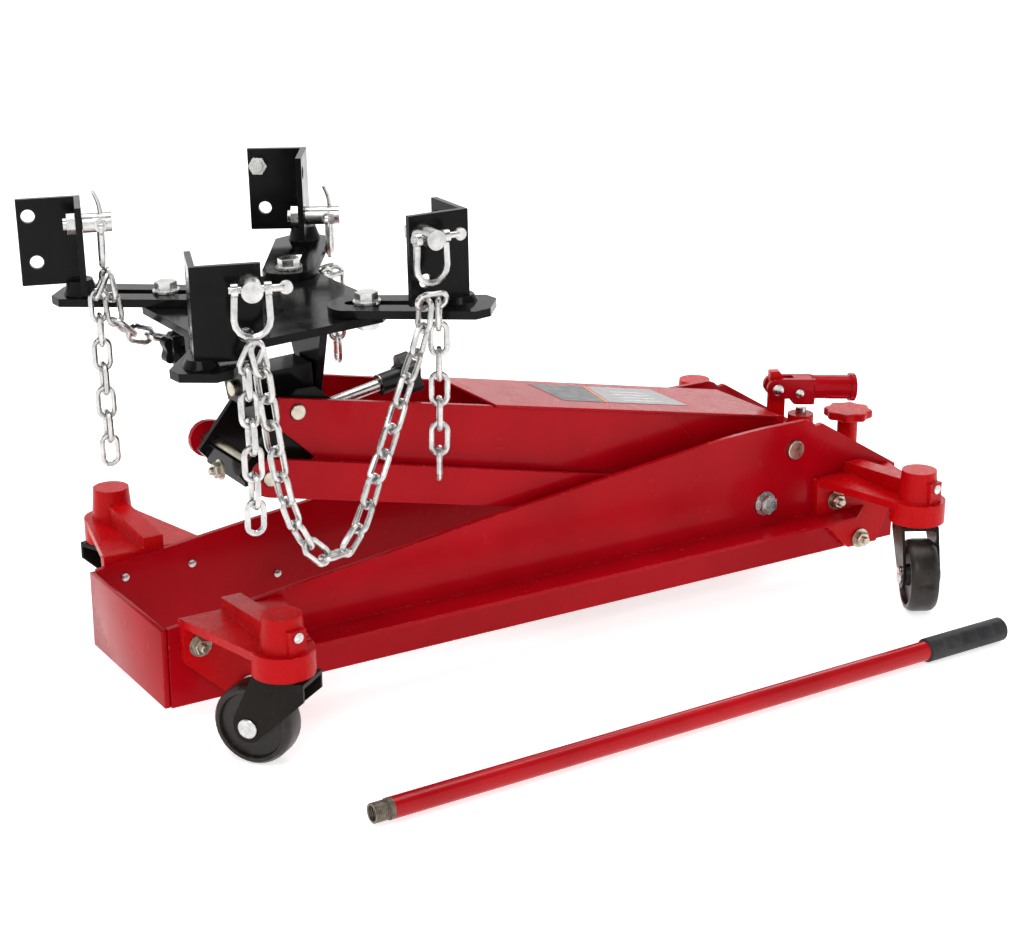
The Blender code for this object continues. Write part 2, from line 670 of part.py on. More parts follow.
def make_tilt_block():
    to_local = saddle_frame().inverted()
    pitch = to_local @ PITCH_PIN
    block = box((-0.0280, -0.0200, -0.1130), (0.0345, 0.0200, -0.0600))
    trunnion = rod((pitch.x, -HEAD_Y[1] + 0.0005, pitch.z), (pitch.x, HEAD_Y[1] - 0.0005, pitch.z), PITCH_PIN_R)
    hub = rod((pitch.x, -0.0415, pitch.z), (pitch.x, 0.0415, pitch.z), 0.0105)
    bore = rod((-0.05, 0, ROLL_Z), (0.06, 0, ROLL_Z), ROLL_R + 0.0004)
    tongue = box((-0.0275, 0.0150, -0.0680), (-0.0130, 0.0407, -0.0605))
    strut = box((-0.0850, 0.0350, -0.0675), (-0.0130, 0.0406, -0.0600))
    ear = box((-0.0848, 0.0351, -0.0670), (-0.0640, 0.0405, -0.0240))
    screw_hole = rod((-0.0745, 0.02, -0.0400), (-0.0745, 0.06, -0.0400), 0.0052)
    made = combined(block, add=[trunnion, hub, tongue, strut, ear], cut=[bore, screw_hole])
    finish(moved(made, saddle_frame()), "tilt_block", black_paint(), PITCH_PIN)

    shank = rod((-0.0745, -0.0060, -0.0400), (-0.0745, 0.0500, -0.0400), 0.0047)
    knob = flat(star(5, 0.0155, 0.0024, (-0.0745, -0.0400)), 0.0450, 0.0570, "xz")
    made = combined(shank, add=[knob])
    finish(moved(made, saddle_frame()), "side_tilt_screw", black_paint(), to_world((-0.0745, 0, -0.0400)))


def make_saddle():
    half_x, half_y, clip = 0.0950, 0.1020, 0.0220
    outline = [
        (half_x, half_y - clip), (half_x - clip, half_y),
        (clip - half_x, half_y), (-half_x, half_y - clip),
        (-half_x, clip - half_y), (clip - half_x, -half_y),
        (half_x - clip, -half_y), (half_x, clip - half_y),
    ]
    holes = [ring((sx * BOLT_X, sy * BOLT_Y), 0.0064) for sx in (-1, 1) for sy in (-1, 1)]
    holes.append(ring((0.0030, -0.0270), 0.0035, 16))
    plate = flat(outline, -SADDLE_T, 0.0, "xy", holes)
    lugs = []
    for ends, foot, low in (((-0.0400, -0.0320), 0.0200, -0.0900), ((0.0375, 0.0455), 0.0140, -0.0960)):
        lug_outline = [(-0.0450, -0.0070), (-foot, low), (foot, low), (0.0450, -0.0070)]
        lugs.append(flat(lug_outline, *ends, "yz"))
    tab = flat([(-0.0040, -0.0070), (-0.0040, -0.0500), (0.0060, -0.0500), (0.0060, -0.0070)], -0.0845, -0.0645, "yz")
    tab_hole = rod((-0.0745, -0.02, -0.0400), (-0.0745, 0.02, -0.0400), 0.0066)
    pin_hole = rod((-0.07, 0, ROLL_Z), (0.08, 0, ROLL_Z), ROLL_R + 0.0004)
    made = combined(plate, add=[*lugs, tab], cut=[tab_hole, pin_hole])
    finish(moved(made, saddle_frame()), "saddle_plate", black_paint(), to_world((0, 0, ROLL_Z)), smooth=False)
    pin = rod((-0.0450, 0, ROLL_Z), (0.0510, 0, ROLL_Z), ROLL_R)
    finish(moved(bevelled(pin, 0.0008, 1), saddle_frame()), "roll_pin", steel(), to_world((0, 0, ROLL_Z)))


def bracket_frame(name):
    """Axes of an angle bracket: near upright, with the saddle's own positions at the bracket's corner."""
    corner = Vector((*ARMS[name][4], 0.0))
    lean = Matrix.Rotation(-ANGLE_LEAN, 4, "Y")
    return Matrix.Translation(saddle_frame() @ corner) @ lean @ Matrix.Translation(-corner)


def hole_at(name, leg, row):
    """Centre of a bracket hole on the outer face of one leg, in the bracket's axes."""
    corner, top, legs = ARMS[name][4:7]
    from_edge, from_top = HOLES[row]
    return Vector((*corner, top - from_top)) + toward(legs[leg]) * (ANGLE_LEG - from_edge)


def make_saddle_arm(name):
    sx, sy, heading, bolt_u, corner, top, legs = ARMS[name][:7]
    bolt = Vector((sx * BOLT_X, sy * BOLT_Y, 0.0))
    low, high = GAP, GAP + ARM_T
    outline = [
        *arc((0.024, 0.0), 0.0290, 248, 112, 8),
        (ARM_LEN - 0.012, ARM_HALF),
        (ARM_LEN, ARM_HALF - 0.012),
        (ARM_LEN, 0.012 - ARM_HALF),
        (ARM_LEN - 0.012, -ARM_HALF),
    ]
    slot = [
        *arc((SLOT[0] + SLOT_HALF, 0), SLOT_HALF, 90, 270, 8),
        *arc((SLOT[1] - SLOT_HALF, 0), SLOT_HALF, -90, 90, 8),
    ]
    place = Matrix.Translation(bolt) @ Matrix.Rotation(radians(heading), 4, "Z")
    place = place @ Matrix.Translation((-bolt_u, 0, 0))
    arm = moved(flat(outline, low, high, "xy", [slot]), place)
    arm = moved(arm, saddle_frame())
    corner_at = Vector((*corner, 0.0))
    first, second = (toward(leg) for leg in legs)
    section = [
        corner_at,
        corner_at + first * ANGLE_LEG,
        corner_at + first * ANGLE_LEG + second * ANGLE_T,
        corner_at + (first + second) * ANGLE_T,
        corner_at + second * ANGLE_LEG + first * ANGLE_T,
        corner_at + second * ANGLE_LEG,
    ]
    angle = flat([(p.x, p.y) for p in section], top - ANGLE_TALL, top, "xy")
    angle = moved(angle, bracket_frame(name))
    foot_at = corner_at + (first + second) * 0.0060
    rise = Vector((0, 0, 1))
    foot = rod(foot_at + rise * (high - 0.001), foot_at + rise * (top - ANGLE_TALL + 0.004), 0.0175, 0.0125)
    foot = moved(foot, saddle_frame())
    holes = []
    for leg, across in ((0, second), (1, first)):
        for row in HOLES:
            at = hole_at(name, leg, row)
            drill = rod(at - across * 0.02, at + across * 0.02, HOLE_R, sides=20)
            holes.append(moved(drill, bracket_frame(name)))
    made = combined(arm, add=[angle, foot], cut=holes)
    finish(made, f"saddle_arm_{name}", black_paint(), to_world(bolt), smooth=False)

    washer = rod(bolt + Vector((0, 0, high + GAP)), bolt + Vector((0, 0, high + 0.003)), 0.0135)
    head = rod(bolt + Vector((0, 0, high + 0.0028)), bolt + Vector((0, 0, high + 0.0110)), 0.0112, sides=6)
    shank = rod(bolt + Vector((0, 0, -0.0150)), bolt + Vector((0, 0, high + 0.004)), 0.0059)
    nut = rod(bolt + Vector((0, 0, -SADDLE_T - 0.0085)), bolt + Vector((0, 0, -SADDLE_T - GAP)), 0.0108, sides=6)
    made = combined(washer, add=[head, shank, nut])
    finish(moved(made, saddle_frame()), f"arm_bolt_{name}", zinc(), to_world(bolt))
    make_stud(name)


def stud_axes(name, spare=False):
    """Point on the leg's face under the stud's shoulder, the way the stud points, and its cross hole's way."""
    legs, leg, row, outward, length = ARMS[name][6:11]
    if spare:
        leg, row, outward, length = 0, "upper", 58.0, 0.034
    across = toward(legs[1 - leg])
    facing = 1.0 if toward(outward).dot(across) > 0 else -1.0
    surface = hole_at(name, leg, row) + across * (ANGLE_T if facing > 0 else 0.0)
    return surface, across * facing, toward(legs[leg]), length


def hang_point(name):
    """Centre of a stud's cross hole in the world: the pin of its shackle."""
    surface, out, pin_way, length = stud_axes(name)
    return bracket_frame(name) @ (surface + out * (length - 0.0110))


def make_stud(name, spare=False):
    surface, out, pin_way, length = stud_axes(name, spare)
    boss = rod(surface + out * GAP, surface + out * length, STUD_R)
    shank = rod(surface - out * (ANGLE_T + 0.0120), surface + out * 0.002, 0.0060)
    nut = rod(surface - out * (ANGLE_T + 0.0085), surface - out * (ANGLE_T + GAP), 0.0100, sides=6)
    cross_at = surface + out * (length - 0.0110)
    cross = rod(cross_at - pin_way * 0.02, cross_at + pin_way * 0.02, SHACKLE_WIRE + 0.0008, sides=16)
    made = moved(combined(boss, add=[shank, nut], cut=[cross]), bracket_frame(name))
    finish(made, "stud_rear_spare" if spare else f"stud_{name}", zinc(), bracket_frame(name) @ cross_at)
    if not spare:
        make_shackle(name, pin_way)


def make_shackle(name, pin_way):
    """D-shackle hanging straight down from its pin, which runs through the stud's cross hole."""
    top = hang_point(name)
    way = pin_way if name != "left" else -pin_way
    level = (bracket_frame(name).to_3x3() @ way).normalized()
    down = Vector((0, 0, -1))
    bend = SHACKLE_HALF + 0.0012
    bow = [top + level * SHACKLE_HALF]
    for i in range(9):
        t = pi * i / 8
        bow.append(top + level * bend * cos(t) + down * (SHACKLE_DROP - bend + bend * sin(t)))
    bow.append(top - level * SHACKLE_HALF)
    wire = tube(bow, SHACKLE_WIRE, 1)
    eyes = [
        rod(top + level * s * (SHACKLE_HALF - 0.0030), top + level * s * (SHACKLE_HALF + 0.0030), 0.0062, sides=16)
        for s in (-1, 1)
    ]
    pin = rod(top - level * (SHACKLE_HALF + 0.005), top + level * (SHACKLE_HALF + 0.014), SHACKLE_WIRE, sides=16)
    tab_at = top + level * (SHACKLE_HALF + 0.0155)
    side = level.cross(down)
    tab = rod(tab_at - side * 0.0016, tab_at + side * 0.0016, 0.0060, sides=14)
    made = combined(wire, add=[*eyes, pin, tab])
    finish(made, f"shackle_{name}", zinc(), top)


# ---- chains ---------------------------------------------------------------------------------
def under_shackle(name, heading, spread=0.0068):
    """The bend a chain makes where it hangs in a shackle, coming from one side and leaving toward heading."""
    pin = hang_point(name)
    across = toward(heading) * spread
    apex = pin.z - SHACKLE_DROP - SHACKLE_WIRE - CHAIN_R - 0.0008
    sides = ((-1.0, 0.0220), (-0.97, 0.0080), (-0.62, 0.0018), (0.0, 0.0), (0.62, 0.0018), (0.97, 0.0080), (1.0, 0.0220))
    return [(pin.x + across.x * k, pin.y + across.y * k, apex - drop) for k, drop in sides]


def chain_routes():
    """Hand-laid routes: free tail, shackle, hanging loop, the other shackle, and a second tail on one chain."""
    front = [
        (-0.4060, -0.2100, 0.2420), (-0.4055, -0.2095, 0.2900), (-0.4055, -0.2070, 0.3400),
        *under_shackle("front", -20.0),
        (-0.3875, -0.2085, 0.3450), (-0.3820, -0.2095, 0.3050),
        (-0.3740, -0.2100, 0.2650), (-0.3600, -0.2110, 0.2300), (-0.3400, -0.2100, 0.2090),
        (-0.3180, -0.2060, 0.2080), (-0.2960, -0.1980, 0.2270), (-0.2760, -0.1880, 0.2620),
        (-0.2540, -0.1790, 0.3000), (-0.2330, -0.1700, 0.3400), (-0.2140, -0.1650, 0.3780),
        *under_shackle("left", -2.0),
        (-0.1900, -0.1612, 0.3600), (-0.1900, -0.1605, 0.3100), (-0.1905, -0.1600, 0.2400),
    ]
    rear = [
        (-0.4225, 0.0880, 0.2180), (-0.4240, 0.0880, 0.2700), (-0.4250, 0.0880, 0.3200),
        *under_shackle("right", 0.0),
        (-0.4125, 0.0865, 0.3870), (-0.4110, 0.0850, 0.3740), (-0.4020, 0.0880, 0.3620),
        (-0.3800, 0.0955, 0.3530), (-0.3500, 0.1020, 0.3430), (-0.3150, 0.1085, 0.3350),
        (-0.2800, 0.1145, 0.3305), (-0.2450, 0.1200, 0.3290), (-0.2120, 0.1255, 0.3330),
        (-0.1850, 0.1295, 0.3420), (-0.1650, 0.1310, 0.3550),
        *under_shackle("rear", 20.0),
        (-0.1441, 0.1362, 0.3400), (-0.1440, 0.1362, 0.3050), (-0.1440, 0.1362, 0.2700),
    ]
    return (("chain_front", front), ("chain_rear", rear))


def smooth_route(points, spacing):
    """Points every spacing along a Catmull-Rom curve through the hand-laid points."""
    knots = [Vector(p) for p in points]
    knots = [2 * knots[0] - knots[1], *knots, 2 * knots[-1] - knots[-2]]
    fine = []
    for a, b, c, d in zip(knots, knots[1:], knots[2:], knots[3:]):
        for i in range(12):
            t = i / 12
            fine.append(
                0.5 * (2 * b + (c - a) * t + (2 * a - 5 * b + 4 * c - d) * t * t + (3 * b - a - 3 * c + d) * t ** 3)
            )
    fine.append(knots[-2])
    kept, walked = [fine[0]], 0.0
    for before, after in zip(fine, fine[1:]):
        walked += (after - before).length
        if walked >= spacing:
            kept.append(after)
            walked = 0.0
    return kept


def make_chains():
    for name, route in chain_routes():
        made = tube(smooth_route(route, 0.0125), CHAIN_R, 2)
        finish(made, name, zinc())


# ---- pump handle ----------------------------------------------------------------------------
def make_handle():
    """Pump handle lying on the floor: a tube with a threaded end, and a rubber grip with finger notches."""
    place = Matrix.Translation(HANDLE_END) @ Matrix.Rotation(HANDLE_YAW, 4, "Z")
    end = HANDLE_LEN
    body = rod((0.015, 0, 0), (end - 0.012, 0, 0), HANDLE_R)
    thread = rod((0, 0, 0), (0.020, 0, 0), 0.0093)
    bore = rod((-0.01, 0, 0), (0.060, 0, 0), 0.0074)
    body = combined(body, add=[thread], cut=[bore])
    finish(moved(body, place), "handle_tube", red_paint(), place @ Vector((end / 2, 0, 0)))
    grip_from = end - GRIP_LEN
    grip = rod((grip_from, 0, 0), (end, 0, 0), GRIP_R, sides=28)
    grip = bevelled(grip, 0.0030, 1, 60)
    hollow = rod((grip_from - 0.01, 0, 0), (end - 0.0115, 0, 0), HANDLE_R + GAP)
    notches = []
    for i in range(4):
        x = grip_from + 0.024 + 0.0225 * i
        notch = rod((x, -0.0200, -0.03), (x, -0.0200, 0.03), 0.0095, sides=24)
        notches.append(moved(notch, Matrix.Rotation(radians(-35.0), 4, "X")))
    made = moved(combined(grip, cut=[hollow, *notches]), place)
    color = material("grip_rubber", GRIP_COLOR, 0.6, 0.0)
    finish(made, "handle_grip", color, place @ Vector((end / 2, 0, 0)))


make_frame()
for caster, (end_sign, side_sign, caster_heading) in CASTERS.items():
    make_caster_bracket(caster, end_sign, side_sign)
    make_caster(caster, end_sign, side_sign, caster_heading)
make_pivots()
make_hydraulics()
make_lift_arm()
make_lower_link()
make_head()
make_tilt_screw()
make_tilt_block()
make_saddle()
for arm_name in ARMS:
    make_saddle_arm(arm_name)
make_stud("rear", spare=True)
make_chains()
make_handle()
for piece in jack.objects:
    piece.location += SHIFT
bpy.context.view_layer.update()
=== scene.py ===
import json
from math import cos, pi, radians, sin

import bmesh
import bpy
from mathutils import Matrix, Vector


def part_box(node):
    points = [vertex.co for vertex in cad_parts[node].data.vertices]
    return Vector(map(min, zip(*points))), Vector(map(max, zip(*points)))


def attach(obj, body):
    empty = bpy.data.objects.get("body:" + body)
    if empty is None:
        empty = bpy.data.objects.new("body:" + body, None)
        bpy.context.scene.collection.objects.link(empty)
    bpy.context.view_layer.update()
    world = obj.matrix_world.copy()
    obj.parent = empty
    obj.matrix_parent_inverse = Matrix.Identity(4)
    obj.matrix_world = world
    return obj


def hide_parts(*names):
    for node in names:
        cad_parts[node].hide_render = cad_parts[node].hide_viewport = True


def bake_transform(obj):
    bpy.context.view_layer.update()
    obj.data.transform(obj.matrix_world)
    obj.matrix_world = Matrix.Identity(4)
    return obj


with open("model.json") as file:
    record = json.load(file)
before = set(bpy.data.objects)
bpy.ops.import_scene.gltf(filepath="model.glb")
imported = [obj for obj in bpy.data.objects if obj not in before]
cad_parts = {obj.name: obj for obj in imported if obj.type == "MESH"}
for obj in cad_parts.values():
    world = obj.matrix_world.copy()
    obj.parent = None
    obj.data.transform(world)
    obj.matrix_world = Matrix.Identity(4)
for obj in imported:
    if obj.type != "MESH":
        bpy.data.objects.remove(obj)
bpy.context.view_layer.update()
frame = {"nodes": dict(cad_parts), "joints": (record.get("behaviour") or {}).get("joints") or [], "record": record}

# Everything is in metres and radians. +X runs from the saddle end to the pump end, and +Z is up.
SHIFT = Vector((0.0069, 0.0582, -0.0120))     # where the jack's own zero, on its middle plane, lies
MIDDLE_Y = SHIFT.y

CAMERA_AT = Vector((-1.1491, -1.7868, 0.9010))
CAMERA_LENS = 75.85
CAMERA_SENSOR = 36.0
CAMERA_AZIMUTH = radians(-31.85)
CAMERA_FALL = radians(18.686)

SHARP_ANGLE = radians(35)                     # a new piece's edges are sharp from this angle on,
CAD_SHARP_ANGLE = radians(34)                 # and a CAD node's from this one

LINK_WIRE = 0.0055
LINK_LONG = 0.0355
LINK_WIDE = 0.0205
LINK_PITCH = LINK_LONG - 2 * LINK_WIRE
LINK_TURN_STEPS = 12                          # facets round each end of a link
LINK_RING = 8                                 # and round its wire
WELD_SWELL = 1.06                             # the wire is this much thicker at a link's weld
BOW_DROP = 0.0506                             # from a shackle's pin down to where the chain lies in its bow
BEND_HALF = 0.0068                            # half the width of a chain's bend over a bow
TAIL_KNOTS = 3                                # route points in a chain's free end
BEND_KNOTS = 7                                # and in its bend over a bow
KNOT_STEPS = 16                               # fine points from each route point to the next
NECK = 0.09                                   # length of chain in each neck, below a tail

BRACKET_FACE = 0.1010                         # outer face of a bracket's plate, from the middle plane
BRACKET_NUTS = {                              # along X from the bracket's middle, and height
    "front": {"upper": (-0.0368, 0.0895), "lower": (0.0110, 0.0364)},
    "rear": {"upper": (-0.0276, 0.0895), "lower": (0.0110, 0.0364)},
}
BRACKET_NUT_SIZE = 0.0088
COLLAR_OUT, COLLAR_HIGH = 0.204, 0.1335       # swivel collar's middle: from the middle plane, and height
COLLAR_REACH = 0.0238                         # from there to the pad under its screw
COLLAR_HEADING = radians(80.0)
WALL_INNER = 0.0857                           # inner face of a side plate, from the middle plane
WALL_RIVETS = ((-0.4100, 0.0950), (-0.3370, 0.0950), (-0.2410, 0.0640))
CHEEK_OUT = 0.0203                            # outer face of a caster fork's cheek, from the wheel's middle
SOCKET_YAW = radians(-24.3)                   # the handle socket's heading,
SOCKET_FALL = radians(2.6)                    # and how far its axis falls from level
SOCKET_HEADS = {                              # place in the socket's own axes, and radius
    "pin": (Vector((0.0, 0.0141, 0.0)), 0.0064),
    "screw": (Vector((0.0257, 0.0135, -0.0042)), 0.0050),
}
STOP_SCREW_HIGH = 0.2245

FILM_SLOPE = radians(-11.1)                   # the cover falls toward the pump
FILM_FRONT = Vector((-0.0660, 0.0, 0.2700)) + SHIFT
FILM_START_X = 0.0446
FILM_MIDDLE_Y = 0.0655
FILM_HALF_WIDTH = 0.0360
FILM_THICK = 0.00025
FILM_GAP = 0.00008                            # the film floats this far over the cover

FLOOR_DROP = -0.0006
FLOOR_REACH = 8.0
WALL_BEND = 1.5                               # radius of the studio's curve from floor to wall
WALL_TOP = 6.0
LAMPS_AIM = Vector((0.0, 0.0, 0.15))

joints = {j["name"]: j for j in frame["joints"]}
scene = bpy.context.scene


# ---- materials --------------------------------------------------------------------------------
MIX_FIRST, MIX_SECOND, MIX_RESULT = 6, 7, 2   # the Mix node's colour sockets


class Surface:
    """One material and the few node set-ups that all of them share."""

    def __init__(self, name):
        self.material = bpy.data.materials.new(name)
        self.material.use_nodes = True
        self.tree = self.material.node_tree
        self.shader = self.tree.nodes["Principled BSDF"]
        self.place = self.node("ShaderNodeTexCoord").outputs["Object"]

    def node(self, kind, **values):
        made = self.tree.nodes.new(kind)
        for key, value in values.items():
            setattr(made, key, value)
        return made

    def wire(self, source, target):
        self.tree.links.new(source, target)

    def noise(self, scale, detail=3.0, rough=0.5, stretch=None):
        made = self.node("ShaderNodeTexNoise")
        made.inputs["Scale"].default_value = scale
        made.inputs["Detail"].default_value = detail
        made.inputs["Roughness"].default_value = rough
        place = self.place
        if stretch:
            mapping = self.node("ShaderNodeMapping")
            mapping.inputs["Scale"].default_value = stretch
            self.wire(place, mapping.inputs["Vector"])
            place = mapping.outputs["Vector"]
        self.wire(place, made.inputs["Vector"])
        return made.outputs["Fac"]

    def ramp(self, source, stops):
        """Colour from a value, by stops of (position, colour)."""
        made = self.node("ShaderNodeValToRGB")
        elements = made.color_ramp.elements
        while len(elements) < len(stops):
            elements.new(0.5)
        for element, (at, color) in zip(elements, stops):
            element.position = at
            element.color = (*color, 1.0)
        self.wire(source, made.inputs["Fac"])
        return made.outputs["Color"]

    def levels(self, source, low, high, to_low, to_high):
        """The value, with low to high stretched onto to_low to to_high."""
        made = self.node("ShaderNodeMapRange")
        made.inputs["From Min"].default_value = low
        made.inputs["From Max"].default_value = high
        made.inputs["To Min"].default_value = to_low
        made.inputs["To Max"].default_value = to_high
        self.wire(source, made.inputs["Value"])
        return made.outputs["Result"]

    def mix(self, factor, first, second):
        """First colour at factor 0 and second at 1, each a tuple or a socket."""
        made = self.node("ShaderNodeMix", data_type="RGBA")
        for i, value in ((MIX_FIRST, first), (MIX_SECOND, second)):
            if isinstance(value, tuple):
                made.inputs[i].default_value = (*value, 1.0)
            else:
                self.wire(value, made.inputs[i])
        self.wire(factor, made.inputs[0])
        return made.outputs[MIX_RESULT]

    def math(self, operation, *values):
        made = self.node("ShaderNodeMath", operation=operation)
        for socket, value in zip(made.inputs, values):
            if isinstance(value, float):
                socket.default_value = value
            else:
                self.wire(value, socket)
        return made.outputs[0]

    def rounded(self, radius):
        """Normal that rounds off the mesh's sharp edges."""
        made = self.node("ShaderNodeBevel", samples=4)
        made.inputs["Radius"].default_value = radius
        return made.outputs["Normal"]

    def edges(self, rounded):
        """0 on flats, up to 1 where the rounded normal leaves the mesh's own."""
        flat = self.node("ShaderNodeNewGeometry").outputs["Normal"]
        dot = self.node("ShaderNodeVectorMath", operation="DOT_PRODUCT")
        self.wire(rounded, dot.inputs[0])
        self.wire(flat, dot.inputs[1])
        return self.levels(dot.outputs["Value"], 0.985, 0.86, 0.0, 1.0)

    def bump(self, height, distance, normal=None):
        made = self.node("ShaderNodeBump")
        made.inputs["Distance"].default_value = distance
        self.wire(height, made.inputs["Height"])
        if normal is not None:
            self.wire(normal, made.inputs["Normal"])
        return made.outputs["Normal"]

    def along(self, axis):
        split = self.node("ShaderNodeSeparateXYZ")
        self.wire(self.place, split.inputs[0])
        return split.outputs[axis]

    def finish(self, color, roughness, normal, metallic=0.0, coat=0.0, level=0.5):
        """The material, with its shader wired up. Roughness and metallic may be plain numbers."""
        inputs = self.shader.inputs
        self.wire(color, inputs["Base Color"])
        self.wire(normal, inputs["Normal"])
        for key, value in (("Roughness", roughness), ("Metallic", metallic)):
            if isinstance(value, float):
                inputs[key].default_value = value
            else:
                self.wire(value, inputs[key])
        inputs["Specular IOR Level"].default_value = level
        if coat:
            inputs["Coat Weight"].default_value = coat
            inputs["Coat Roughness"].default_value = 0.08
        return self.material


def enamel(name, dark, light, metal, cast=0.0, gloss=0.20, wear=0.35):
    """Glossy paint: faint orange peel, uneven film, and paint rubbed thin on the edges."""
    s = Surface(name)
    rounded = s.rounded(0.0012)
    tone = s.ramp(s.noise(9.0, 5.0, 0.6), ((0.30, dark), (0.72, light)))
    chips = s.levels(s.noise(260.0, 4.0, 0.65), 0.56, 0.66, 0.0, wear)
    rubbed = s.math("MULTIPLY", s.edges(rounded), chips)
    color = s.mix(rubbed, tone, metal)
    film = s.bump(s.noise(720.0, 2.0), 0.00003, rounded)
    if cast:
        pits = s.levels(s.noise(330.0, 5.0, 0.62), 0.35, 0.65, 0.0, 1.0)
        film = s.bump(pits, cast, film)
    rough = s.levels(s.noise(46.0, 5.0, 0.6), 0.3, 0.7, gloss - 0.05, gloss + 0.09)
    return s.finish(color, rough, film, coat=0.04, level=0.07)


def plated(name, dark, light, rough):
    """Plated or oiled steel: cloudy film, fine drawing lines and small dull spots."""
    s = Surface(name)
    rounded = s.rounded(0.0008)
    cloud = s.noise(85.0, 5.0, 0.62)
    spots = s.levels(s.noise(520.0, 3.0, 0.6), 0.60, 0.72, 0.0, 0.45)
    color = s.mix(spots, s.ramp(cloud, ((0.28, dark), (0.70, light))), tuple(c * 0.45 for c in dark))
    gloss = s.levels(cloud, 0.3, 0.7, rough, rough + 0.14)
    lines = s.noise(240.0, 3.0, 0.5, (1.0, 1.0, 9.0))
    return s.finish(color, gloss, s.bump(lines, 0.00004, rounded), metallic=1.0)


def handle_paint(start, reach):
    """Red tube whose first stretch is bare thread: rings in the bump, dark oiled metal in the colour."""
    s = Surface("handle_paint_and_thread")
    rounded = s.rounded(0.0008)
    bare = s.levels(s.along("X"), start + reach, start + reach + 0.0006, 1.0, 0.0)
    tone = s.ramp(s.noise(12.0, 5.0, 0.6), ((0.30, (0.31, 0.001, 0.004)), (0.72, (0.42, 0.003, 0.008))))
    scuff = s.levels(s.noise(70.0, 6.0, 0.7, (0.12, 1.0, 1.0)), 0.62, 0.75, 0.0, 0.30)
    painted = s.mix(scuff, tone, (0.20, 0.010, 0.012))
    metal = s.ramp(s.noise(190.0, 4.0, 0.6), ((0.30, (0.085, 0.070, 0.055)), (0.70, (0.23, 0.19, 0.15))))
    rings = s.node("ShaderNodeTexWave", wave_type="BANDS", bands_direction="X")
    rings.inputs["Scale"].default_value = 175.0
    s.wire(s.place, rings.inputs["Vector"])
    cut = s.math("MULTIPLY", rings.outputs["Fac"], bare)
    normal = s.bump(cut, 0.0006, s.bump(s.noise(700.0, 2.0), 0.00003, rounded))
    rough = s.levels(bare, 0.0, 1.0, 0.22, 0.42)
    return s.finish(s.mix(bare, painted, metal), rough, normal, bare, coat=0.05, level=0.18)


def screw_and_knob(start, reach, knob):
    """Bright screw with a black moulded knob from start + reach on."""
    s = Surface("tilt_screw_and_knob")
    rounded = s.rounded(0.0008)
    moulded = s.levels(s.along("X"), start + reach, start + reach + 0.0004, 0.0, 1.0)
    metal = s.ramp(s.noise(120.0, 4.0, 0.6), ((0.3, (0.42, 0.41, 0.39)), (0.7, (0.70, 0.68, 0.65))))
    dark = s.ramp(s.noise(60.0, 4.0, 0.6), ((0.3, knob), (0.7, tuple(2.4 * c for c in knob))))
    grain = s.bump(s.noise(520.0, 3.0), 0.00005, rounded)
    rough = s.levels(s.noise(70.0, 4.0), 0.3, 0.7, 0.20, 0.36)
    return s.finish(s.mix(moulded, metal, dark), rough, grain, s.math("SUBTRACT", 1.0, moulded), level=0.25)


def grip_rubber():
    """Soft moulded grip with a fine grain."""
    s = Surface("moulded_grip")
    rounded = s.rounded(0.0010)
    grain = s.noise(950.0, 4.0, 0.7)
    tone = s.ramp(s.noise(32.0, 5.0, 0.6), ((0.3, (0.008, 0.009, 0.010)), (0.7, (0.024, 0.024, 0.026))))
    return s.finish(tone, s.levels(grain, 0.3, 0.7, 0.48, 0.68), s.bump(grain, 0.00012, rounded), level=0.3)


def caster_nylon():
    """Dark moulded wheel with a scuffed tread."""
    s = Surface("caster_nylon")
    rounded = s.rounded(0.0010)
    tone = s.ramp(s.noise(30.0, 6.0, 0.65), ((0.30, (0.006, 0.005, 0.004)), (0.72, (0.022, 0.016, 0.013))))
    dust = s.levels(s.noise(150.0, 6.0, 0.7), 0.55, 0.70, 0.0, 0.30)
    scuffed = s.math("MAXIMUM", s.edges(rounded), 0.35)
    color = s.mix(s.math("MULTIPLY", dust, scuffed), tone, (0.22, 0.19, 0.16))
    grain = s.noise(420.0, 4.0, 0.6)
    rough = s.levels(s.noise(60.0, 4.0), 0.3, 0.7, 0.26, 0.46)
    return s.finish(color, rough, s.bump(grain, 0.00006, rounded), level=0.3)


def printed(name, dark, light):
    """Printed film on the cover: slight mottling under a satin surface."""
    s = Surface(name)
    tone = s.ramp(s.noise(240.0, 4.0, 0.6), ((0.3, dark), (0.7, light)))
    rough = s.levels(s.noise(90.0, 3.0), 0.3, 0.7, 0.30, 0.44)
    return s.finish(tone, rough, s.bump(s.noise(600.0, 2.0), 0.00003))


BARE = (0.36, 0.33, 0.31)                     # metal where the paint is rubbed thin
GREY = (0.20, 0.19, 0.18)
BROWN_GREY = (0.20, 0.18, 0.16)
red = enamel("red_enamel", (0.285, 0.0006, 0.0035), (0.385, 0.0016, 0.0075), BARE)
cast_red = enamel(
    "cast_red_enamel", (0.37, 0.0010, 0.0025), (0.50, 0.0025, 0.0050), BARE, cast=0.00016, gloss=0.24
)
black = enamel("black_enamel", (0.003, 0.003, 0.003), (0.009, 0.008, 0.008), GREY, gloss=0.13, wear=0.25)
fork_black = enamel("fork_enamel", (0.005, 0.004, 0.003), (0.016, 0.012, 0.010), BROWN_GREY, gloss=0.24)
zinc = plated("zinc_plating", (0.40, 0.40, 0.40), (0.68, 0.67, 0.65), 0.18)
steel = plated("yellowed_steel", (0.30, 0.27, 0.21), (0.62, 0.57, 0.47), 0.24)
by_slot = {
    "red_paint": red,
    "black_paint": black,
    "zinc_plate": zinc,
    "pin_steel": steel,
    "wheel_nylon": caster_nylon(),
    "grip_rubber": grip_rubber(),
}
